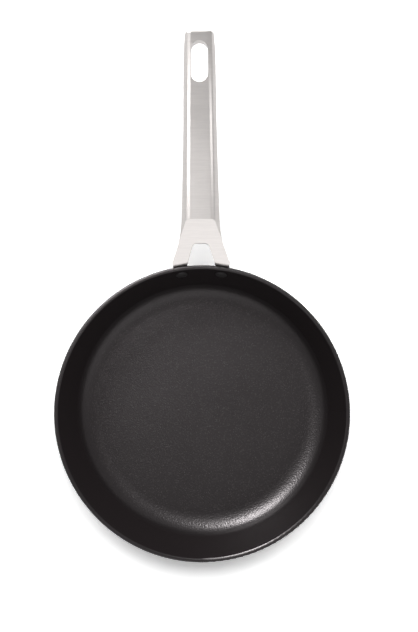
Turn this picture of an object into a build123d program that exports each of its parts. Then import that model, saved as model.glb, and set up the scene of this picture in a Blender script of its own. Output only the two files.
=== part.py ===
from build123d import *
import math
import os

# Omelette pan. Millimetres, +Z up, handle along +Y, origin at the centre of the resting face.

# Pan: a round bowl with a flat floor, a round corner and a wall that leans outwards
rim_diameter = 240.0
pan_height = 47.0
wall_lean = 18.0
wall_thickness = 3.6
floor_thickness = 4.5
corner_radius = 18.0
base_shoulder = 5.9
base_step = 0.8
base_edge_round = 0.5

# Rounds of the rim, as shares of the wall
rim_outer_round_share = 0.47
rim_inner_round_share = 0.39

# Steel disc pressed into the underside, keyed by rings of round holes that the pan's metal fills
disc_margin = 9.0
disc_thickness = 0.8
disc_side_gap = 0.1
hole_diameter = 4.2
hole_gap = 0.05
first_ring_radius = 20.0
last_ring_margin = 11.5
ring_count = 4
first_ring_holes = 8
holes_added_per_ring = 6

# Rivets: one for each leg of the handle, through the wall
rivet_drop = 9.5
rivet_shank_diameter = 5.0
rivet_hole_gap = 0.05
inner_head_diameter = 9.6
inner_head_height = 1.4
outer_head_diameter = 8.6
outer_head_height = 2.2
head_rim_height = 0.4
head_seat_gap = 0.15

# Handle legs and their pads against the outside of the wall
leg_spacing = 34.4
leg_width = 11.4
leg_top_rise = 1.0
leg_top_reach = 3.0
pad_thickness = 3.0
pad_gap = 0.1
pad_below_rivet = 6.6
pad_corner_round = 4.0
bend_round = 8.0
bend_inner_round = 1.5

# Fork: the sloping plate that joins the two legs to the grip
fork_length = 34.6
fork_slope = 30.9
fork_thickness = 3.2
fork_neck_width = 24.6
fork_neck_reach = 30.6
leg_top_round = 12.0
arch_top_width = 11.8
arch_top_reach = 16.6
arch_corner_round = 3.2
arch_foot_round = 6.0

# Grip: a hollow bar with a flat top, sloping shoulders and steep sides, widest at its seam
grip_slope = 8.0
grip_length = 143.0
grip_width = 30.5
grip_flat_width = 17.4
grip_flat_end_width = 13.0
grip_shoulder_width = 2.9
grip_shoulder_end_width = 3.3
grip_shoulder_drop = 0.6
seam_depth = 6.7
grip_depth = 10.7
grip_bottom_inset = 2.6
grip_wall = 1.6
flat_edge_round = 5.0
shoulder_round = 2.0
seam_round = 1.5
bottom_round = 2.4
end_wall = 2.0
end_round = 1.0

# Widths of the seam at evenly spaced stations along the grip, as shares of the grip's width. The
# first station lies under the fork, as far before the grip as this share of its length.
lead_in_share = 1 / 7
width_shares = (1.24, 1.01, 0.965, 0.922, 0.885, 0.866, 0.853, 0.828, 0.742)

# The hollow's corners are rounded by this share of the outside's
hollow_round_share = 0.4

# Hanging slot near the end of the grip, with a tube that lines it through the hollow
slot_length = 31.0
slot_width = 13.2
slot_end_margin = 7.2
slot_tube_wall = 1.4
shell_gap = 0.1

# Cuts run past the faces that they cross by this much
overrun = 20.0
plane_tolerance = 0.01

rim_radius = rim_diameter / 2
rim_outer_round = wall_thickness * rim_outer_round_share
rim_inner_round = wall_thickness * rim_inner_round_share
lean_tangent = math.tan(math.radians(wall_lean))
lean_cosine = math.cos(math.radians(wall_lean))
lean_sine = math.sin(math.radians(wall_lean))

# The outside of the wall, carried up to the rim's plane before the rim is rounded
wall_top_radius = rim_radius + rim_outer_round * (lean_tangent + 1 / lean_cosine - 1)


def outer_wall_radius(height):
    """Radius of the outside of the wall at a height above the resting face."""
    return wall_top_radius - (pan_height - height) * lean_tangent


def inner_wall_radius(height):
    """Radius of the inside of the wall at a height above the resting face."""
    return outer_wall_radius(height) - wall_thickness / lean_cosine


# Rivet places, on the outside of the wall
rivet_height = pan_height - rivet_drop
rivet_radius = outer_wall_radius(rivet_height)
leg_azimuth = math.degrees(math.asin(leg_spacing / 2 / wall_top_radius))


def wall_plane(side):
    """Plane on the outside of the wall at a rivet: Y runs up the wall and Z points outwards."""
    azimuth = math.radians(side * leg_azimuth)
    across = Vector(-math.cos(azimuth), math.sin(azimuth), 0)
    outward = Vector(math.sin(azimuth), math.cos(azimuth), 0)
    normal = outward * lean_cosine - Vector(0, 0, lean_sine)
    origin = outward * rivet_radius + Vector(0, 0, rivet_height)
    return Plane(origin=origin, x_dir=across, z_dir=normal)


def rivet_section_plane(side):
    """Plane that holds a rivet's axis: Y runs along the axis, outwards."""
    seat = wall_plane(side)
    return Plane(origin=seat.origin, x_dir=seat.x_dir, z_dir=-seat.y_dir)


def edge_between(builder, first, second):
    """Edges of a part whose middle lies on both planes."""

    def on_both(edge):
        middle = edge.position_at(0.5)
        heights = [plane.to_local_coords(middle).Z for plane in (first, second)]
        return max(abs(height) for height in heights) < plane_tolerance

    return builder.edges().filter_by(on_both)


def dome_middle(radius, height, seat):
    """Point half way up the arc of a dome that stands on a short rim."""
    rim = math.copysign(head_rim_height, height)
    rise = height - rim
    dome_radius = (radius**2 + rise**2) / (2 * abs(rise))
    half_angle = math.asin(min(radius / dome_radius, 1)) / 2
    across = dome_radius * math.sin(half_angle)
    drop = dome_radius * (1 - math.cos(half_angle))
    return (across, seat + height - math.copysign(drop, height))


sides = (-1, 1)

# Pan body. The base stands inside the outer corner's round, and the disc inside the base.
outer_corner_round = corner_radius + wall_thickness
outer_corner_reach = outer_corner_round * math.tan(math.radians(90 - wall_lean) / 2)
base_radius = outer_wall_radius(base_step) - outer_corner_reach - base_shoulder
disc_radius = base_radius - disc_margin
disc_recess_radius = disc_radius + disc_side_gap
ring_spacing = (disc_radius - last_ring_margin - first_ring_radius) / (ring_count - 1)

with BuildPart() as pan_body:
    with BuildSketch(Plane.XZ):
        with BuildLine():
            bowl = FilletPolyline(
                (0, disc_thickness),
                (disc_recess_radius, disc_thickness),
                (disc_recess_radius, 0),
                (base_radius, 0),
                (base_radius, base_step),
                (outer_wall_radius(base_step), base_step),
                (wall_top_radius, pan_height),
                (inner_wall_radius(pan_height), pan_height),
                (inner_wall_radius(floor_thickness), floor_thickness),
                (0, floor_thickness),
                radius=[
                    0,
                    0,
                    base_edge_round,
                    0,
                    outer_corner_round,
                    rim_outer_round,
                    rim_inner_round,
                    corner_radius,
                ],
            )
            Line(bowl @ 1, bowl @ 0)
        make_face()
    revolve(axis=Axis.Z)
    # Metal that fills the holes of the disc, flush with the resting face
    with BuildSketch(Plane.XY):
        for ring in range(ring_count):
            ring_radius = first_ring_radius + ring * ring_spacing
            with PolarLocations(ring_radius, first_ring_holes + ring * holes_added_per_ring):
                Circle(hole_diameter / 2 - hole_gap)
    extrude(amount=disc_thickness)
    for side in sides:
        with BuildSketch(wall_plane(side)):
            Circle(rivet_shank_diameter / 2 + rivet_hole_gap)
        extrude(amount=overrun, both=True, mode=Mode.SUBTRACT)

# Steel disc
with BuildPart() as base_disc:
    with BuildSketch(Plane.XY):
        Circle(disc_radius)
        for ring in range(ring_count):
            ring_radius = first_ring_radius + ring * ring_spacing
            with PolarLocations(ring_radius, first_ring_holes + ring * holes_added_per_ring):
                Circle(hole_diameter / 2, mode=Mode.SUBTRACT)
    extrude(amount=disc_thickness)

# Planes of the handle. The fork's top meets the wall at the foot, and the grip's top at the ridge.
wall_foot_height = pan_height + leg_top_rise
wall_foot_reach = outer_wall_radius(wall_foot_height) * math.cos(math.radians(leg_azimuth))
fork_sine = math.sin(math.radians(fork_slope))
fork_cosine = math.cos(math.radians(fork_slope))
ridge_reach = wall_foot_reach + fork_length
ridge_height = wall_foot_height + fork_length * fork_sine / fork_cosine
ridge = Vector(0, ridge_reach, ridge_height)
fork_plane = Plane(origin=ridge, x_dir=(1, 0, 0), z_dir=(0, -fork_sine, fork_cosine))
grip_sine = math.sin(math.radians(grip_slope))
grip_cosine = math.cos(math.radians(grip_slope))
grip_plane = Plane(origin=ridge, x_dir=(1, 0, 0), z_dir=(0, -grip_sine, grip_cosine))
seam_plane = grip_plane.offset(-seam_depth)

# Rectangles in the fork's and the grip's planes that reach well past the fork and the grip
fork_cover = (2 * fork_length, 3 * fork_length)
grip_cover = (2 * grip_width, 3 * grip_length)


def inset_corners(corners, inset):
    """Corners of a convex outline, listed clockwise, with every side moved inwards by inset."""
    moved = []
    for index, corner in enumerate(corners):
        before = (corner - corners[index - 1]).normalized()
        after = (corners[(index + 1) % len(corners)] - corner).normalized()
        inward_before = Vector(before.Y, -before.X)
        inward_after = Vector(after.Y, -after.X)
        bisector = inward_before + inward_after
        moved.append(corner + bisector * (inset / (1 + inward_before.dot(inward_after))))
    return moved


def grip_section(share, width_share, inset, round_share):
    """Cross-section of the grip at a share of its length, with every side moved in by inset."""
    flat = (grip_flat_width + (grip_flat_end_width - grip_flat_width) * share) / 2
    widening = grip_shoulder_end_width - grip_shoulder_width
    shoulder = flat + grip_shoulder_width + widening * share
    seam = grip_width * width_share / 2
    right = [
        Vector(flat, 0),
        Vector(shoulder, -grip_shoulder_drop),
        Vector(seam, -seam_depth),
        Vector(seam - grip_bottom_inset, -grip_depth),
    ]
    left = [Vector(-corner.X, corner.Y) for corner in reversed(right)]
    rounds = [flat_edge_round, shoulder_round, seam_round, bottom_round]
    rounds = [corner_round * round_share for corner_round in rounds]
    origin = grip_plane.from_local_coords(Vector(0, grip_length * share, 0))
    along = Vector(0, grip_cosine, grip_sine)
    with BuildSketch(Plane(origin=origin, x_dir=(1, 0, 0), z_dir=-along)) as section:
        with BuildLine():
            FilletPolyline(
                *inset_corners(right + left, inset),
                radius=[*rounds, *reversed(rounds)],
                close=True,
            )
        make_face()
    return section.sketch


def grip_sections(inset, shorten, round_share):
    """Cross-sections from under the fork to the end of the grip, which stops short by shorten."""
    steps = len(width_shares) - 1
    last_share = 1 - shorten / grip_length
    sections = []
    for step, width_share in enumerate(width_shares):
        share = step / steps * (last_share + lead_in_share) - lead_in_share
        sections.append(grip_section(share, width_share, inset, round_share))
    return sections


# Outside of the grip and of its hollow, from which the two shells and the fork are cut
with BuildPart() as grip_outside:
    loft(sections=grip_sections(0, 0, 1))
    grip_end = grip_outside.faces().sort_by(Axis.Y)[-1]
    fillet(grip_end.edges(), radius=end_round)

with BuildPart() as grip_hollow:
    loft(sections=grip_sections(grip_wall, end_wall, hollow_round_share))

# Legs in plan, from the neck where the fork leaves the grip to the pads on the wall
leg_outer = (leg_spacing + leg_width) / 2
leg_inner = (leg_spacing - leg_width) / 2
pad_end_reach = wall_foot_reach - overrun
fork_neck = wall_foot_reach + fork_neck_reach
arch_top = wall_foot_reach + arch_top_reach

# Fork: a sloping plate with an arch cut between its legs, and a pad on the wall under each leg
with BuildPart() as fork:
    add(grip_outside.part)
    with BuildSketch(Plane.XY):
        with BuildLine():
            outline = FilletPolyline(
                (0, fork_neck),
                (fork_neck_width / 2, fork_neck),
                (leg_outer, wall_foot_reach + leg_top_reach),
                (leg_outer, pad_end_reach),
                (0, pad_end_reach),
                radius=[0, leg_top_round, 0],
            )
            mirror(outline, about=Plane.YZ)
        make_face()
    extrude(amount=ridge_height + overrun)
    with BuildSketch(fork_plane):
        with Locations((0, -fork_length / 2)):
            Rectangle(*fork_cover)
    extrude(amount=-fork_thickness, mode=Mode.INTERSECT)
    with BuildSketch(Plane.XY):
        with BuildLine():
            arch = FilletPolyline(
                (0, arch_top),
                (arch_top_width / 2, arch_top),
                (leg_inner, wall_foot_reach),
                (leg_inner, pad_end_reach),
                (0, pad_end_reach),
                radius=[arch_corner_round, arch_foot_round, 0],
            )
            mirror(arch, about=Plane.YZ)
        make_face()
    extrude(amount=ridge_height + overrun, mode=Mode.SUBTRACT)
    for side in sides:
        with BuildSketch(wall_plane(side).offset(pad_gap)):
            with BuildLine():
                FilletPolyline(
                    (leg_width / 2, overrun),
                    (leg_width / 2, -pad_below_rivet),
                    (-leg_width / 2, -pad_below_rivet),
                    (-leg_width / 2, overrun),
                    radius=[pad_corner_round, pad_corner_round],
                )
                Line((-leg_width / 2, overrun), (leg_width / 2, overrun))
            make_face()
        extrude(amount=pad_thickness)
    # Nothing stands above the fork's top or inside the wall
    with BuildSketch(fork_plane):
        with Locations((0, -fork_length / 2)):
            Rectangle(*fork_cover)
    extrude(amount=2 * overrun, mode=Mode.SUBTRACT)
    for side in sides:
        with BuildSketch(wall_plane(side).offset(pad_gap)):
            Rectangle(leg_spacing, 4 * overrun)
        extrude(amount=-2 * overrun, mode=Mode.SUBTRACT)
    # Round bends where the legs turn down along the wall
    for side in sides:
        pad_inside = wall_plane(side).offset(pad_gap)
        pad_outside = wall_plane(side).offset(pad_gap + pad_thickness)
        fork_underside = fork_plane.offset(-fork_thickness)
        fillet(edge_between(fork, pad_inside, fork_plane), radius=bend_round)
        fillet(edge_between(fork, pad_outside, fork_underside), radius=bend_inner_round)
        with BuildSketch(wall_plane(side)):
            Circle(rivet_shank_diameter / 2 + rivet_hole_gap)
        extrude(amount=overrun, mode=Mode.SUBTRACT)

# The slot, and the tube that lines it
slot_centre = grip_length - slot_end_margin - slot_length / 2
slot_tube_length = slot_length + 2 * slot_tube_wall
slot_tube_width = slot_width + 2 * slot_tube_wall

with BuildPart() as slot_tube:
    with BuildSketch(grip_plane.offset(-grip_depth)):
        with Locations((0, slot_centre)):
            SlotOverall(slot_tube_length, slot_tube_width, rotation=90)
    extrude(amount=grip_depth - grip_wall / 2)
    add(grip_outside.part, mode=Mode.INTERSECT)

# Upper shell of the handle: the grip above its seam, the slot's tube and the fork in one piece
with BuildPart() as handle_upper:
    add(grip_outside.part)
    add(grip_hollow.part, mode=Mode.SUBTRACT)
    with BuildSketch(seam_plane):
        Rectangle(*grip_cover)
    extrude(amount=overrun, mode=Mode.INTERSECT)
    with BuildSketch(fork_plane):
        with Locations((0, -fork_length / 2)):
            Rectangle(*fork_cover)
    extrude(amount=2 * overrun, mode=Mode.SUBTRACT)
    add(slot_tube.part)
    add(fork.part)
    with BuildSketch(grip_plane):
        with Locations((0, slot_centre)):
            SlotOverall(slot_length, slot_width, rotation=90)
    extrude(amount=overrun, both=True, mode=Mode.SUBTRACT)

# Lower shell of the handle, which closes the grip's hollow from the seam down
with BuildPart() as handle_lower:
    add(grip_outside.part)
    add(grip_hollow.part, mode=Mode.SUBTRACT)
    with BuildSketch(seam_plane):
        Rectangle(*grip_cover)
    extrude(amount=-overrun, mode=Mode.INTERSECT)
    with BuildSketch(fork_plane.offset(-fork_thickness - shell_gap)):
        with Locations((0, -fork_length / 2)):
            Rectangle(*fork_cover)
    extrude(amount=2 * overrun, mode=Mode.SUBTRACT)
    with BuildSketch(grip_plane):
        with Locations((0, slot_centre)):
            SlotOverall(
                slot_tube_length + 2 * shell_gap,
                slot_tube_width + 2 * shell_gap,
                rotation=90,
            )
    extrude(amount=-2 * overrun, mode=Mode.SUBTRACT)


def rivet(side):
    """A rivet through the wall and a pad, with a low head inside the pan and a domed one outside."""
    inner_seat = -wall_thickness - head_seat_gap
    outer_seat = pad_gap + pad_thickness
    shank = rivet_shank_diameter / 2
    inner_head = inner_head_diameter / 2
    outer_head = outer_head_diameter / 2
    seat = wall_plane(side)
    with BuildPart() as whole_rivet:
        with BuildSketch(rivet_section_plane(side)):
            with BuildLine():
                Polyline(
                    (0, inner_seat - inner_head_height),
                    (0, outer_seat + outer_head_height),
                )
                ThreePointArc(
                    (0, outer_seat + outer_head_height),
                    dome_middle(outer_head, outer_head_height, outer_seat),
                    (outer_head, outer_seat + head_rim_height),
                )
                Polyline(
                    (outer_head, outer_seat + head_rim_height),
                    (outer_head, outer_seat),
                    (shank, outer_seat),
                    (shank, inner_seat),
                    (inner_head, inner_seat),
                    (inner_head, inner_seat - head_rim_height),
                )
                ThreePointArc(
                    (inner_head, inner_seat - head_rim_height),
                    dome_middle(inner_head, -inner_head_height, inner_seat),
                    (0, inner_seat - inner_head_height),
                )
            make_face()
        revolve(axis=Axis(seat.origin, seat.z_dir))
    return whole_rivet.part


rivet_left = rivet(-1)
rivet_right = rivet(1)

pieces = {
    "pan_body": pan_body.part,
    "base_disc": base_disc.part,
    "handle_upper": handle_upper.part,
    "handle_lower": handle_lower.part,
    "rivet_left": rivet_left,
    "rivet_right": rivet_right,
}
os.makedirs("parts", exist_ok=True)
for name, piece in pieces.items():
    piece.label = name
    export_step(piece, f"parts/{name}.step")
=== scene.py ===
"""Looks of an omelette pan: its finishes, a plain studio and the camera.

Lengths are in metres, in the model's frame: +Z up, +Y along the handle.
"""

import logging
import math
from dataclasses import dataclass, field
from enum import Enum

import bpy
from mathutils import Matrix, Vector

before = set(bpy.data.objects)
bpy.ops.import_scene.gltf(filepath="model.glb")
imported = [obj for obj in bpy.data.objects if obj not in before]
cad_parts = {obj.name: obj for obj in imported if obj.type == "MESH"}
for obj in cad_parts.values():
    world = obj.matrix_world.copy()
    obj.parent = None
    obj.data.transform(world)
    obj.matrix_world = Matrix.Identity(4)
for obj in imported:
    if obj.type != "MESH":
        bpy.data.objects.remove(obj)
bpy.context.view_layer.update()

log = logging.getLogger("omelette_pan")

MILLIMETRE = 0.001

Colour = tuple[float, float, float]
Place = tuple[float, float, float]
Range = tuple[float, float]
Socket = bpy.types.NodeSocket
COLOUR_PARTS = 3
LEVEL: Place = (1.0, 1.0, 0.0)
WHITE: Colour = (1.0, 1.0, 1.0)
HALF = 0.5

# Sockets of the Mix nodes, whose names repeat for each kind of value
MIX_SHARE = 0
MIX_FIRST_SHADER = 1
MIX_SECOND_SHADER = 2
MIX_FIRST_NUMBER = 2
MIX_SECOND_NUMBER = 3
MIX_FIRST_COLOUR = 6
MIX_SECOND_COLOUR = 7
MIX_COLOUR_OUT = 2


class Lay(Enum):
    """Directions that the brush lines of a metal run in."""

    ACROSS = "across the handle"
    TURNED = "in circles about the pan's axis"


class Sheet:
    """A node tree with short calls for the nodes that the finishes use."""

    def __init__(self, tree: bpy.types.NodeTree) -> None:
        """Takes the tree that nodes are added to.

        Args:
            tree: Node tree of a material, a world or a group.
        """
        self.tree = tree

    def add(self, kind: str, inputs: dict | None = None, **settings) -> bpy.types.Node:
        """Adds a node.

        Args:
            kind: Type of the node without its ShaderNode prefix.
            inputs: Values or sockets for inputs, by name or index.
            **settings: Values of the node's own properties.

        Returns:
            The new node.
        """
        node = self.tree.nodes.new("ShaderNode" + kind)
        for name, value in settings.items():
            setattr(node, name, value)
        for name, value in (inputs or {}).items():
            self.feed(node.inputs[name], value)
        return node

    def feed(self, target: Socket, value: Socket | float | tuple) -> None:
        """Links a socket to an input, or sets the input's own value.

        Args:
            target: Input socket.
            value: Output socket, number, colour or vector.
        """
        if isinstance(value, bpy.types.NodeSocket):
            self.tree.links.new(value, target)
        elif target.type == "RGBA" and len(value) == COLOUR_PARTS:
            target.default_value = (*value, 1.0)
        else:
            target.default_value = value

    def math(self, operation: str, *values: Socket | float) -> Socket:
        """Adds a Math node.

        Args:
            operation: Name of the operation.
            *values: Operands, sockets or numbers.

        Returns:
            The result's socket.
        """
        return self.add("Math", dict(enumerate(values)), operation=operation).outputs[0]

    def vector(self, operation: str, *values: Socket | Place, output: str = "Vector") -> Socket:
        """Adds a Vector Math node.

        Args:
            operation: Name of the operation.
            *values: Operands, sockets or vectors.
            output: Output to return, Vector or Value.

        Returns:
            The result's socket.
        """
        node = self.add("VectorMath", dict(enumerate(values)), operation=operation)
        return node.outputs[output]

    def combine(self, x: Socket | float, y: Socket | float, z: Socket | float) -> Socket:
        """Returns the vector of three numbers."""
        return self.add("CombineXYZ", {"X": x, "Y": y, "Z": z}).outputs[0]

    def split(self, place: Socket) -> bpy.types.Node:
        """Returns a node whose outputs X, Y and Z are the parts of a vector."""
        return self.add("SeparateXYZ", {"Vector": place})

    def in_units(self, place: Socket, length: Socket) -> Socket:
        """Returns a place counted in lengths, so that a texture of scale 1 has that size."""
        counted = self.vector("SCALE", place)
        self.feed(counted.node.inputs["Scale"], self.math("DIVIDE", 1.0, length))
        return counted

    def ramp(
        self, value: Socket, low: float, high: float, start: float = 0.0, end: float = 1.0
    ) -> Socket:
        """Maps a value that rises from low to high smoothly to start..end, and holds it outside.

        Args:
            value: Value to map.
            low: Value where the map starts.
            high: Value where the map ends.
            start: Result at and before low.
            end: Result at and after high.

        Returns:
            The result's socket.
        """
        places = {"Value": value, "From Min": low, "From Max": high, "To Min": start, "To Max": end}
        return self.add("MapRange", places, interpolation_type="SMOOTHSTEP").outputs["Result"]

    def fall(self, value: Socket, low: float, high: float) -> Socket:
        """Returns 1 where the value is at most low, and 0 from high on, with a smooth fall."""
        return self.ramp(value, low, high, 1.0, 0.0)

    def blend(
        self, share: Socket | float, first: Socket | Colour, second: Socket | Colour
    ) -> Socket:
        """Mixes two colours.

        Args:
            share: Share of the second colour.
            first: Colour where share is 0.
            second: Colour where share is 1.

        Returns:
            The mixed colour's socket.
        """
        places = {MIX_SHARE: share, MIX_FIRST_COLOUR: first, MIX_SECOND_COLOUR: second}
        return self.add("Mix", places, data_type="RGBA").outputs[MIX_COLOUR_OUT]

    def between(self, share: Socket, first: Socket | float, second: Socket | float) -> Socket:
        """Mixes two numbers.

        Args:
            share: Share of the second number.
            first: Number where share is 0.
            second: Number where share is 1.

        Returns:
            The mixed number's socket.
        """
        places = {MIX_SHARE: share, MIX_FIRST_NUMBER: first, MIX_SECOND_NUMBER: second}
        return self.add("Mix", places).outputs[0]


class Effect:
    """A shader node group that finishes share. It is built once and puts out values only."""

    name = ""
    inputs: dict[str, tuple[str, float]] = {}
    outputs: dict[str, str] = {}

    def build(self, sheet: Sheet, given: dict[str, Socket]) -> dict[str, Socket]:
        """Adds the effect's nodes.

        Args:
            sheet: Sheet of the group's tree.
            given: The group's inputs by name.

        Returns:
            Sockets for the group's outputs, by name.
        """
        raise NotImplementedError

    def tree(self) -> bpy.types.NodeTree:
        """Returns the group's tree, built the first time that it is asked for."""
        made = bpy.data.node_groups.get(self.name)
        if made:
            return made
        tree = bpy.data.node_groups.new(self.name, "ShaderNodeTree")
        for name, (kind, default) in self.inputs.items():
            kind_name = "NodeSocket" + kind
            socket = tree.interface.new_socket(name, in_out="INPUT", socket_type=kind_name)
            if kind == "Float":
                socket.default_value = default
        for name, kind in self.outputs.items():
            tree.interface.new_socket(name, in_out="OUTPUT", socket_type="NodeSocket" + kind)
        start = tree.nodes.new("NodeGroupInput")
        end = tree.nodes.new("NodeGroupOutput")
        given = {name: start.outputs[name] for name in self.inputs}
        for name, socket in self.build(Sheet(tree), given).items():
            tree.links.new(socket, end.inputs[name])
        return tree

    def place(self, sheet: Sheet, **values: Socket | float) -> bpy.types.Node:
        """Places the effect in a material.

        Args:
            sheet: Sheet of the material's tree.
            **values: The effect's inputs by name.

        Returns:
            The group's node.
        """
        node = sheet.tree.nodes.new("ShaderNodeGroup")
        node.node_tree = self.tree()
        for name, value in values.items():
            sheet.feed(node.inputs[name], value)
        return node


class BrushGrain(Effect):
    """Fine parallel lines left by a brush or an abrasive belt."""

    name = "brush_grain"
    inputs = {
        "Place": ("Vector", 0.0),
        "Pitch": ("Float", 0.3 * MILLIMETRE),
        "Length": ("Float", 20.0 * MILLIMETRE),
    }
    outputs = {"Height": "Float", "Shade": "Float"}
    drift_per_line: Place = (0.12, 0.0, 0.17)
    fine_noise = {"Scale": 1.0, "Detail": 3.0, "Roughness": 0.65}
    wide_noise = {"Scale": 0.45, "Detail": 3.0, "Roughness": 0.7}

    def build(self, sheet: Sheet, given: dict[str, Socket]) -> dict[str, Socket]:
        """Adds lines that keep the place's Y, with a pitch across them and a length along them.

        Each line is shifted along its length against the next, so that no pattern repeats.

        Args:
            sheet: Sheet of the group's tree.
            given: The group's inputs by name.

        Returns:
            Height and shade of the lines.
        """
        apart = sheet.math("DIVIDE", 1.0, given["Pitch"])
        along = sheet.math("DIVIDE", 1.0, given["Length"])
        scaled = sheet.vector("MULTIPLY", given["Place"], sheet.combine(along, apart, along))
        count = sheet.split(scaled).outputs["Y"]
        drift = sheet.combine(count, 0.0, count)
        lines = sheet.vector("MULTIPLY_ADD", drift, self.drift_per_line, scaled)
        fine = sheet.add("TexNoise", {"Vector": lines, **self.fine_noise})
        wide = sheet.add("TexNoise", {"Vector": lines, **self.wide_noise})
        return {"Height": fine.outputs["Fac"], "Shade": wide.outputs["Fac"]}


class Pebble(Effect):
    """Low, rounded, close-set bumps of a coat that was sprayed over a blasted surface."""

    name = "pebble"
    inputs = {"Place": ("Vector", 0.0), "Grain": ("Float", 1.0 * MILLIMETRE)}
    outputs = {"Height": "Float", "Shade": "Float"}
    cells = {"Scale": 1.0, "Smoothness": 0.6}
    uneven_noise = {"Scale": 0.8, "Detail": 2.0}
    uneven_height = 0.9
    spray_noise = {"Scale": 3.1, "Detail": 2.0}
    spray_height = 0.25

    def build(self, sheet: Sheet, given: dict[str, Socket]) -> dict[str, Socket]:
        """Adds bumps of the grain's size, uneven in height, with a finer spray over them."""
        counted = sheet.in_units(given["Place"], given["Grain"])
        cells = sheet.add("TexVoronoi", {"Vector": counted, **self.cells}, feature="SMOOTH_F1")
        uneven = sheet.add("TexNoise", {"Vector": counted, **self.uneven_noise}).outputs["Fac"]
        spray = sheet.add("TexNoise", {"Vector": counted, **self.spray_noise}).outputs["Fac"]
        bump = sheet.math("MULTIPLY_ADD", uneven, self.uneven_height, cells.outputs["Distance"])
        height = sheet.math("MULTIPLY_ADD", spray, self.spray_height, bump)
        return {"Height": height, "Shade": uneven}


class Flecks(Effect):
    """Bright mineral flecks scattered in a coat, each with a tone of its own."""

    name = "flecks"
    inputs = {
        "Place": ("Vector", 0.0),
        "Spacing": ("Float", 1.0 * MILLIMETRE),
        "Share": ("Float", 0.3),
    }
    outputs = {"Mask": "Float"}
    spot_edge: Range = (0.2, 0.55)

    def build(self, sheet: Sheet, given: dict[str, Socket]) -> dict[str, Socket]:
        """Adds a fleck in a share of the cells of a loose grid, brighter in some than in others."""
        counted = sheet.in_units(given["Place"], given["Spacing"])
        cells = sheet.add("TexVoronoi", {"Vector": counted, "Scale": 1.0})
        tone = sheet.add("SeparateColor", {"Color": cells.outputs["Color"]})
        chosen = sheet.math("LESS_THAN", tone.outputs["Red"], given["Share"])
        round_spot = sheet.fall(cells.outputs["Distance"], *self.spot_edge)
        brightness = sheet.math("MULTIPLY", round_spot, tone.outputs["Green"])
        return {"Mask": sheet.math("MULTIPLY", brightness, chosen)}


class Mottle(Effect):
    """Slow, faint unevenness over a surface, from handling and from the finish itself."""

    name = "mottle"
    inputs = {"Place": ("Vector", 0.0), "Patch": ("Float", 30.0 * MILLIMETRE)}
    outputs = {"Value": "Float"}
    noise = {"Scale": 1.0, "Detail": 3.0}
    noise_range: Range = (0.3, 0.7)

    def build(self, sheet: Sheet, given: dict[str, Socket]) -> dict[str, Socket]:
        """Adds soft patches of the given size."""
        counted = sheet.in_units(given["Place"], given["Patch"])
        noise = sheet.add("TexNoise", {"Vector": counted, **self.noise})
        return {"Value": sheet.ramp(noise.outputs["Fac"], *self.noise_range)}


class WornEdgeAndGlint(Effect):
    """Mask of the outer edges, which polishing and use leave brighter; the lighter edges are also a
    painted highlight, where rounded edges would catch the light.
    """

    name = "worn_and_glint_edge"
    inputs = {"Width": ("Float", 0.5 * MILLIMETRE)}
    outputs = {"Mask": "Float"}
    samples = 6
    edge_range: Range = (0.8, 0.99)

    def build(self, sheet: Sheet, given: dict[str, Socket]) -> dict[str, Socket]:
        """Compares the surface's direction with one that is rounded over the edge's width."""
        rounded = sheet.add("Bevel", {"Radius": given["Width"]}, samples=self.samples)
        true = sheet.add("NewGeometry").outputs["Normal"]
        turned = sheet.vector("DOT_PRODUCT", rounded.outputs["Normal"], true, output="Value")
        return {"Mask": sheet.fall(turned, *self.edge_range)}


def new_material(name: str) -> tuple[bpy.types.Material, Sheet, bpy.types.Node]:
    """Makes an empty material with a Principled shader.

    Args:
        name: Name of the material.

    Returns:
        The material, the sheet of its tree and its Principled node.
    """
    material = bpy.data.materials.new(name)
    material.use_nodes = True
    material.node_tree.nodes.clear()
    sheet = Sheet(material.node_tree)
    shader = sheet.add("BsdfPrincipled")
    output = sheet.add("OutputMaterial")
    sheet.feed(output.inputs["Surface"], shader.outputs["BSDF"])
    return material, sheet, shader


def add_relief(sheet: Sheet, shader: bpy.types.Node, height: Socket, depth: float) -> None:
    """Gives a shader a fine relief.

    Args:
        sheet: Sheet of the material's tree.
        shader: Principled node.
        height: Height of the relief, in depths.
        depth: Depth of the relief.
    """
    bump = sheet.add("Bump", {"Height": height, "Strength": 1.0, "Distance": depth})
    sheet.feed(shader.inputs["Normal"], bump.outputs["Normal"])


def toned(colour: Colour, gain: float) -> Colour:
    """Returns a colour times a gain, with each part kept at 1 or below."""
    return tuple(min(gain * part, 1.0) for part in colour)


def surface_place(sheet: Sheet) -> Socket:
    """Returns the place on the object, in its own coordinates."""
    return sheet.add("TexCoord").outputs["Object"]


def turned_place(sheet: Sheet, place: Socket, reach: float) -> Socket:
    """Gives a place whose Y is the radius, so that lines that keep Y are circles about the axis.

    Args:
        sheet: Sheet of the material's tree.
        place: Place on the object.
        reach: Radius at which lengths along the circles are true.

    Returns:
        Place with the radius as Y and the point's direction, times the reach, as X and Z.
    """
    level = sheet.vector("MULTIPLY", place, LEVEL)
    radius = sheet.vector("LENGTH", level, output="Value")
    outward = sheet.split(sheet.vector("NORMALIZE", level))
    across = sheet.math("MULTIPLY", outward.outputs["X"], reach)
    along = sheet.math("MULTIPLY", outward.outputs["Y"], reach)
    return sheet.combine(across, radius, along)


def crossed_place(sheet: Sheet, place: Socket, slope: float) -> Socket:
    """Gives a place whose Y runs along the grip, so that lines that keep Y run round the grip.

    Args:
        sheet: Sheet of the material's tree.
        place: Place on the object.
        slope: Angle that the grip rises at, in degrees.

    Returns:
        Place with the length along the grip as Y.
    """
    lengthwise = (0.0, math.cos(math.radians(slope)), math.sin(math.radians(slope)))
    along = sheet.vector("DOT_PRODUCT", place, lengthwise, output="Value")
    parts = sheet.split(place)
    return sheet.combine(parts.outputs["X"], along, parts.outputs["Z"])


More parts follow.
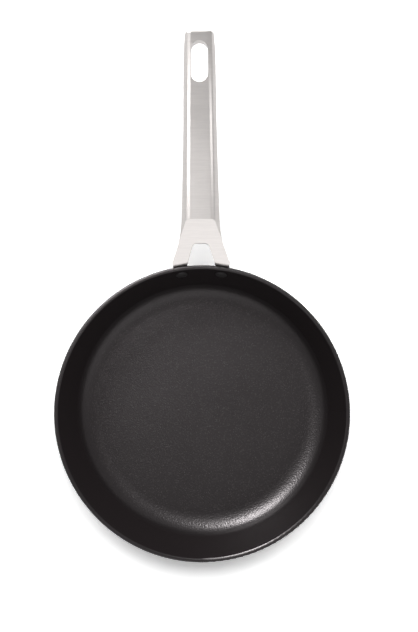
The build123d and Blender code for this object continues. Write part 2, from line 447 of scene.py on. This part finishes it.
@dataclass(frozen=True)
class SteelFinish:
    """Stainless steel, brushed along one lay and then satin polished."""

    name: str
    colour: Colour
    lay: Lay
    roughness: float
    pitch: float
    line_length: float
    grain_depth: float
    shade_range: Range = (0.3, 0.7)
    streak_share: float = 0.06
    streak_roughness: float = 0.02
    mottle_patch: float = 35.0 * MILLIMETRE
    mottle_roughness: float = 0.008
    # Lighter edges: partly polish and wear, partly a painted highlight on the edges
    worn_and_glint_width: float = 0.6 * MILLIMETRE
    worn_and_glint_gain: float = 1.05
    turned_reach: float = 50.0 * MILLIMETRE
    grip_slope: float = 8.0

    def material(self) -> bpy.types.Material:
        """Returns the steel's material."""
        material, sheet, shader = new_material(self.name)
        place = surface_place(sheet)
        if self.lay is Lay.TURNED:
            lines = turned_place(sheet, place, self.turned_reach)
        else:
            lines = crossed_place(sheet, place, self.grip_slope)
        grain = BrushGrain().place(sheet, Place=lines, Pitch=self.pitch, Length=self.line_length)
        mottle = Mottle().place(sheet, Place=place, Patch=self.mottle_patch)
        worn_and_glint = WornEdgeAndGlint().place(sheet, Width=self.worn_and_glint_width)
        streak = sheet.ramp(grain.outputs["Shade"], *self.shade_range)

        body = sheet.blend(streak, toned(self.colour, 1.0 - self.streak_share), self.colour)
        # Edge colour made lighter: partly polished, worn steel, partly a painted highlight on the
        # edges
        worn_and_glint_colour = toned(self.colour, self.worn_and_glint_gain)
        sheet.feed(shader.inputs["Base Color"], sheet.blend(worn_and_glint.outputs["Mask"], body, worn_and_glint_colour))
        sheet.feed(shader.inputs["Metallic"], 1.0)

        smooth = self.roughness - self.mottle_roughness
        matt = self.roughness + self.mottle_roughness
        uneven = sheet.between(mottle.outputs["Value"], smooth, matt)
        from_middle = sheet.math("SUBTRACT", streak, HALF)
        grained = sheet.math("MULTIPLY_ADD", from_middle, self.streak_roughness, uneven)
        sheet.feed(shader.inputs["Roughness"], grained)
        add_relief(sheet, shader, grain.outputs["Height"], self.grain_depth)
        return material


@dataclass(frozen=True)
class CoatFinish:
    """Black coat of the rivets: a thin spray over a smooth head."""

    name: str
    colour: Colour
    roughness: float
    grain: float
    grain_depth: float
    shade_range: Range = (0.35, 0.65)
    pale_gain: float = 1.3
    pale_roughness: float = 0.08
    # Lighter edges: partly worn coat, partly a painted highlight on the rounded edges
    worn_and_glint_width: float = 0.4 * MILLIMETRE
    worn_and_glint_gain: float = 2.2

    def material(self) -> bpy.types.Material:
        """Returns the coat's material."""
        material, sheet, shader = new_material(self.name)
        pebble = Pebble().place(sheet, Place=surface_place(sheet), Grain=self.grain)
        worn_and_glint = WornEdgeAndGlint().place(sheet, Width=self.worn_and_glint_width)
        uneven = sheet.ramp(pebble.outputs["Shade"], *self.shade_range)
        body = sheet.blend(uneven, self.colour, toned(self.colour, self.pale_gain))
        # Edge colour made lighter: partly worn coat, partly a painted highlight on the edges
        bare_and_glint_colour = toned(self.colour, self.worn_and_glint_gain)
        sheet.feed(shader.inputs["Base Color"], sheet.blend(worn_and_glint.outputs["Mask"], body, bare_and_glint_colour))
        matt = self.roughness + self.pale_roughness
        sheet.feed(shader.inputs["Roughness"], sheet.between(uneven, self.roughness, matt))
        add_relief(sheet, shader, pebble.outputs["Height"], self.grain_depth)
        return material


@dataclass(frozen=True)
class BowlZones:
    """Masks of the bowl's zones, 1 inside the zone and 0 outside it."""

    outside: Socket
    base: Socket
    textured: Socket
    grainy: Socket
    leaning: Socket


@dataclass(frozen=True)
class BowlFinish:
    """The pan's finishes: a flecked non-stick coat inside, a matt coat outside, a turned base."""

    name: str
    inside_colour: Colour
    # A lighter copy of the inside colour: painted sheen that makes up for the wall's low gloss
    wall_sheen_colour: Colour
    fleck_colour: Colour
    outside_colour: Colour
    base_colour: Colour
    inside_roughness: float
    wall_roughness: float
    outside_roughness: float
    base_roughness: float
    flat_gloss: float
    wall_gloss: float
    fleck_spacing: float
    fleck_share: float
    grain: float
    grain_depth: float
    spray_depth: float
    flat_reach: float
    wall_reach: float
    base_reach: float
    base_height: float
    grain_overlap: float = 5.0 * MILLIMETRE
    gloss_tint: Colour = (1.0, 0.94, 0.955)
    outside_facing: Range = (0.15, 0.45)
    wall_facing: Range = (-0.94, -0.86)
    mottle_patch: float = 50.0 * MILLIMETRE
    mottle_roughness: float = 0.04
    groove_pitch: float = 0.6 * MILLIMETRE
    groove_length: float = 60.0 * MILLIMETRE
    groove_depth: float = 0.02 * MILLIMETRE

    def zones(self, sheet: Sheet, place: Socket) -> BowlZones:
        """Finds the bowl's zones from the place and from where the surface faces.

        Args:
            sheet: Sheet of the material's tree.
            place: Place on the bowl.

        Returns:
            The zones' masks.
        """
        level = sheet.vector("MULTIPLY", place, LEVEL)
        radius = sheet.vector("LENGTH", level, output="Value")
        normal = sheet.add("NewGeometry").outputs["Normal"]
        outward = sheet.vector("NORMALIZE", level)
        facing = sheet.vector("DOT_PRODUCT", normal, outward, output="Value")
        low = sheet.math("LESS_THAN", sheet.split(place).outputs["Z"], self.base_height)
        near = sheet.math("LESS_THAN", radius, self.base_reach)
        overlap = self.grain_overlap
        return BowlZones(
            outside=sheet.ramp(facing, *self.outside_facing),
            base=sheet.math("MULTIPLY", low, near),
            textured=sheet.fall(radius, self.flat_reach, self.wall_reach),
            grainy=sheet.fall(radius, self.flat_reach + overlap, self.wall_reach + overlap),
            leaning=sheet.fall(facing, *self.wall_facing),
        )

    def paint(
        self, sheet: Sheet, shader: bpy.types.Node, place: Socket, zones: BowlZones
    ) -> None:
        """Sets the colour of each zone; the leaning wall gets a lighter copy of the inside coat's
        colour, a painted sheen.

        Args:
            sheet: Sheet of the material's tree.
            shader: Principled node.
            place: Place on the bowl.
            zones: The zones' masks.
        """
        flecks = Flecks().place(
            sheet, Place=place, Spacing=self.fleck_spacing, Share=self.fleck_share
        )
        shown = sheet.math("MULTIPLY", flecks.outputs["Mask"], zones.textured)
        # The leaning wall gets the lighter copy of the coat's colour: painted sheen
        inner = sheet.blend(zones.leaning, self.inside_colour, self.wall_sheen_colour)
        flecked = sheet.blend(shown, inner, self.fleck_colour)
        coat = sheet.blend(zones.outside, flecked, self.outside_colour)
        sheet.feed(shader.inputs["Base Color"], sheet.blend(zones.base, coat, self.base_colour))
        sheet.feed(shader.inputs["Metallic"], zones.base)

    def polish(
        self, sheet: Sheet, shader: bpy.types.Node, place: Socket, zones: BowlZones
    ) -> None:
        """Sets the roughness and the gloss of each zone.

        Args:
            sheet: Sheet of the material's tree.
            shader: Principled node.
            place: Place on the bowl.
            zones: The zones' masks.
        """
        mottle = Mottle().place(sheet, Place=place, Patch=self.mottle_patch).outputs["Value"]
        inside = sheet.between(zones.textured, self.wall_roughness, self.inside_roughness)
        uneven = sheet.math("MULTIPLY_ADD", mottle, self.mottle_roughness, inside)
        coat = sheet.between(zones.outside, uneven, self.outside_roughness)
        rough = sheet.between(zones.base, coat, self.base_roughness)
        sheet.feed(shader.inputs["Roughness"], rough)
        gloss = sheet.between(zones.leaning, self.flat_gloss, self.wall_gloss)
        sheet.feed(shader.inputs["Specular IOR Level"], gloss)
        sheet.feed(shader.inputs["Specular Tint"], self.gloss_tint)

    def material(self) -> bpy.types.Material:
        """Returns the pan's material, whose zones follow the place on the bowl."""
        material, sheet, shader = new_material(self.name)
        place = surface_place(sheet)
        zones = self.zones(sheet, place)
        self.paint(sheet, shader, place, zones)
        self.polish(sheet, shader, place, zones)

        pebble = Pebble().place(sheet, Place=place, Grain=self.grain)
        circles = turned_place(sheet, place, self.base_reach)
        grooves = BrushGrain().place(
            sheet, Place=circles, Pitch=self.groove_pitch, Length=self.groove_length
        )
        coat_depth = sheet.between(zones.grainy, self.spray_depth, self.grain_depth)
        coat_height = sheet.math("MULTIPLY", pebble.outputs["Height"], coat_depth)
        base_height = sheet.math("MULTIPLY", grooves.outputs["Height"], self.groove_depth)
        add_relief(sheet, shader, sheet.between(zones.base, coat_height, base_height), 1.0)
        return material


def give_material(piece: bpy.types.Object, material: bpy.types.Material) -> None:
    """Puts a material in every material slot of a piece.

    Args:
        piece: Mesh object.
        material: Material that it gets.
    """
    for holder in piece.material_slots:
        holder.material = material


@dataclass
class Bowl:
    """The pan itself: the coated aluminium body and the steel disc in its base."""

    flat_reach: float = 94.0 * MILLIMETRE
    wall_reach: float = 103.0 * MILLIMETRE
    base_reach: float = 84.4 * MILLIMETRE
    base_height: float = 0.9 * MILLIMETRE

    def dress(self, nodes: dict[str, bpy.types.Object]) -> list[bpy.types.Object]:
        """Dresses the body and the disc.

        Args:
            nodes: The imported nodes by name.

        Returns:
            The dressed pieces.
        """
        coat = BowlFinish(
            name="pan_coat",
            inside_colour=(0.0110, 0.0088, 0.0093),
            # Inside colour made lighter for the wall: painted sheen in place of its low gloss
            wall_sheen_colour=(0.0190, 0.0154, 0.0161),
            fleck_colour=(0.048, 0.044, 0.043),
            outside_colour=(0.014, 0.013, 0.0135),
            base_colour=(0.80, 0.79, 0.78),
            inside_roughness=0.41,
            wall_roughness=0.32,
            outside_roughness=0.5,
            base_roughness=0.32,
            flat_gloss=0.5,
            wall_gloss=0.08,
            fleck_spacing=0.9 * MILLIMETRE,
            fleck_share=0.5,
            grain=1.15 * MILLIMETRE,
            grain_depth=0.17 * MILLIMETRE,
            spray_depth=0.008 * MILLIMETRE,
            flat_reach=self.flat_reach,
            wall_reach=self.wall_reach,
            base_reach=self.base_reach,
            base_height=self.base_height,
        )
        disc = SteelFinish(
            name="disc_steel",
            colour=(0.56, 0.55, 0.53),
            lay=Lay.TURNED,
            roughness=0.34,
            pitch=0.4 * MILLIMETRE,
            line_length=50.0 * MILLIMETRE,
            grain_depth=0.008 * MILLIMETRE,
        )
        give_material(nodes["pan_body"], coat.material())
        give_material(nodes["base_disc"], disc.material())
        return [nodes["pan_body"], nodes["base_disc"]]


@dataclass
class Handle:
    """The hollow steel handle: an upper shell with the fork, and a lower shell."""

    shells: tuple[str, str] = ("handle_upper", "handle_lower")

    def dress(self, nodes: dict[str, bpy.types.Object]) -> list[bpy.types.Object]:
        """Dresses both shells.

        Args:
            nodes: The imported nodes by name.

        Returns:
            The dressed pieces.
        """
        steel = SteelFinish(
            name="satin_steel",
            colour=(0.755, 0.718, 0.70),
            lay=Lay.ACROSS,
            roughness=0.302,
            pitch=0.8 * MILLIMETRE,
            line_length=10.0 * MILLIMETRE,
            grain_depth=0.002 * MILLIMETRE,
        ).material()
        pieces = [nodes[name] for name in self.shells]
        for piece in pieces:
            give_material(piece, steel)
        return pieces


@dataclass
class Rivets:
    """The two coated rivets that hold the handle on the wall."""

    names: tuple[str, str] = ("rivet_left", "rivet_right")

    def dress(self, nodes: dict[str, bpy.types.Object]) -> list[bpy.types.Object]:
        """Dresses both rivets.

        Args:
            nodes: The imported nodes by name.

        Returns:
            The dressed pieces.
        """
        coat = CoatFinish(
            name="rivet_coat",
            colour=(0.018, 0.0165, 0.017),
            roughness=0.36,
            grain=0.8 * MILLIMETRE,
            grain_depth=0.02 * MILLIMETRE,
        ).material()
        pieces = [nodes[name] for name in self.names]
        for piece in pieces:
            give_material(piece, coat)
        return pieces


@dataclass(frozen=True)
class Lamp:
    """A square or oblong soft lamp that faces a point on the object."""

    name: str
    place: Place
    aim: Place
    width: float
    length: float
    power: float
    spread_degrees: float = 180.0
    diffuse: bool = True
    glossy: bool = True

    def build(self) -> None:
        """Adds the lamp to the scene, turned to its aim."""
        light = bpy.data.lights.new(self.name, "AREA")
        light.shape = "RECTANGLE"
        light.size = self.width
        light.size_y = self.length
        light.energy = self.power
        light.spread = math.radians(self.spread_degrees)
        lamp = bpy.data.objects.new(self.name, light)
        lamp.location = self.place
        direction = Vector(self.place) - Vector(self.aim)
        lamp.rotation_mode = "QUATERNION"
        lamp.rotation_quaternion = direction.to_track_quat("Z", "Y")
        lamp.visible_camera = False
        lamp.visible_diffuse = self.diffuse
        lamp.visible_glossy = self.glossy
        bpy.context.scene.collection.objects.link(lamp)


def studio_lamps() -> list[Lamp]:
    """Returns a large lamp for the floor and the shadow, and five that only reflections show."""
    pan_centre = (0.0, 0.0, 0.0)
    grip_middle = (0.0, 0.18, 0.08)
    return [
        Lamp(
            name="overhead",
            place=(0.12, 1.45, 2.75),
            aim=pan_centre,
            width=2.1,
            length=1.1,
            power=76.0,
            glossy=False,
        ),
        Lamp(
            name="sheen",
            place=(-1.324, 2.119, 1.664),
            aim=pan_centre,
            width=1.0,
            length=1.0,
            power=205.0,
            diffuse=False,
        ),
        Lamp(
            name="pan_card",
            place=(-0.17, 0.15, 0.66),
            aim=(-0.085, 0.075, 0.0),
            width=0.14,
            length=0.2,
            power=0.016,
            spread_degrees=24.0,
            diffuse=False,
        ),
        Lamp(
            name="middle_card",
            place=(-0.01, 0.12, 0.70),
            aim=(-0.005, 0.19, 0.075),
            width=0.10,
            length=0.16,
            power=0.0003,
            spread_degrees=20.0,
            diffuse=False,
        ),
        Lamp(
            name="left_strip",
            place=(-0.235, 0.23, 0.60),
            aim=grip_middle,
            width=0.10,
            length=0.5,
            power=0.036,
            spread_degrees=30.0,
            diffuse=False,
        ),
        Lamp(
            name="right_strip",
            place=(0.235, 0.23, 0.60),
            aim=grip_middle,
            width=0.10,
            length=0.5,
            power=0.015,
            spread_degrees=30.0,
            diffuse=False,
        ),
    ]


@dataclass
class Studio:
    """A plain pale floor, a white surround and soft lamps."""

    floor_half_width: float = 3.0
    floor_gap: float = 0.3 * MILLIMETRE
    floor_colour: float = 0.72
    floor_gain: float = 2.0
    ambient: float = 0.45
    background: float = 1.0
    overhead: float = 0.38
    front: float = 1.25
    horizon: float = 0.75
    front_side: Place = (0.35, -0.937, 0.0)
    front_range: Range = (0.3, 0.75)
    horizon_range: Range = (0.25, 0.5)
    lamps: list[Lamp] = field(default_factory=studio_lamps)

    def floor_material(self) -> bpy.types.Material:
        """Returns the floor's material, white to the camera and clear to rays from below."""
        material = bpy.data.materials.new("pale_floor")
        material.use_nodes = True
        material.node_tree.nodes.clear()
        sheet = Sheet(material.node_tree)
        path = sheet.add("LightPath").outputs
        lit = self.floor_colour * self.floor_gain
        shade = sheet.between(path["Is Camera Ray"], self.floor_colour, lit)
        colour = sheet.add("CombineColor", {"Red": shade, "Green": shade, "Blue": shade})
        matt = sheet.add("BsdfDiffuse", {"Color": colour.outputs[0]}).outputs["BSDF"]
        clear = sheet.add("BsdfTransparent").outputs["BSDF"]
        below = sheet.add("NewGeometry").outputs["Backfacing"]
        passed = sheet.math("GREATER_THAN", path["Transparent Depth"], HALF)
        unseen = sheet.math("MAXIMUM", below, passed)
        places = {MIX_SHARE: unseen, MIX_FIRST_SHADER: matt, MIX_SECOND_SHADER: clear}
        output = sheet.add("OutputMaterial")
        sheet.feed(output.inputs["Surface"], sheet.add("MixShader", places).outputs[0])
        return material

    def floor(self) -> None:
        """Adds the floor, a gap below the base, so that rays from below meet the base first."""
        half, level = self.floor_half_width, -self.floor_gap
        sides = ((-half, -half), (half, -half), (half, half), (-half, half))
        mesh = bpy.data.meshes.new("floor")
        mesh.from_pydata([(x, y, level) for x, y in sides], [], [(0, 1, 2, 3)])
        mesh.materials.append(self.floor_material())
        floor = bpy.data.objects.new("floor", mesh)
        bpy.context.scene.collection.objects.link(floor)

    def surroundings(self) -> None:
        """Makes the world: white to the camera, soft as light, a studio in reflections."""
        world = bpy.data.worlds.new("surround")
        bpy.context.scene.world = world
        world.use_nodes = True
        world.node_tree.nodes.clear()
        sheet = Sheet(world.node_tree)
        path = sheet.add("LightPath").outputs
        view = sheet.add("TexCoord").outputs["Generated"]
        forward = sheet.vector("DOT_PRODUCT", view, self.front_side, output="Value")
        frontal = sheet.ramp(forward, *self.front_range)
        low = sheet.fall(sheet.split(view).outputs["Z"], *self.horizon_range)
        around = sheet.between(low, self.overhead, self.horizon)
        mirrored = sheet.between(frontal, around, self.front)
        reflected = sheet.math("MAXIMUM", path["Is Glossy Ray"], path["Is Transmission Ray"])
        light = sheet.between(reflected, self.ambient, mirrored)
        strength = sheet.between(path["Is Camera Ray"], light, self.background)
        shader = sheet.add("Background", {"Color": WHITE, "Strength": strength})
        output = sheet.add("OutputWorld")
        sheet.feed(output.inputs["Surface"], shader.outputs[0])

    def build(self) -> None:
        """Builds the floor, the surroundings and every lamp."""
        self.floor()
        self.surroundings()
        for lamp in self.lamps:
            lamp.build()


@dataclass(frozen=True)
class PhotoCamera:
    """The camera over the pan, fitted to the rim, the flat floor and the handle."""

    position: Place = (0.0141, 0.05995, 0.67209)
    pitch_degrees: float = 1.70
    yaw_degrees: float = 0.723
    roll_degrees: float = -0.233
    focal_pixels: float = 771.24
    long_side_pixels: float = 632.0
    sensor_width: float = 36.0

    def build(self) -> None:
        """Adds the camera and makes it the scene's camera."""
        data = bpy.data.cameras.new("camera")
        data.sensor_width = self.sensor_width
        data.lens = self.focal_pixels / self.long_side_pixels * self.sensor_width
        camera = bpy.data.objects.new("camera", data)
        turn = Matrix.Rotation(math.radians(self.pitch_degrees), 4, "X")
        turn = turn @ Matrix.Rotation(math.radians(self.yaw_degrees), 4, "Y")
        turn = turn @ Matrix.Rotation(math.radians(self.roll_degrees), 4, "Z")
        camera.matrix_world = Matrix.Translation(self.position) @ turn
        bpy.context.scene.collection.objects.link(camera)
        bpy.context.scene.camera = camera


def main() -> None:
    """Dresses the pan piece by piece and sets up the studio and the camera."""
    logging.basicConfig(level=logging.INFO, format="%(name)s: %(message)s")
    bpy.context.scene.view_settings.view_transform = "Standard"
    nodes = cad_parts
    for part in (Bowl(), Handle(), Rivets()):
        for piece in part.dress(nodes):
            log.info("%s dressed, %d faces", piece.name, len(piece.data.polygons))
    Studio().build()
    PhotoCamera().build()


if __name__ == "__main__":
    main()
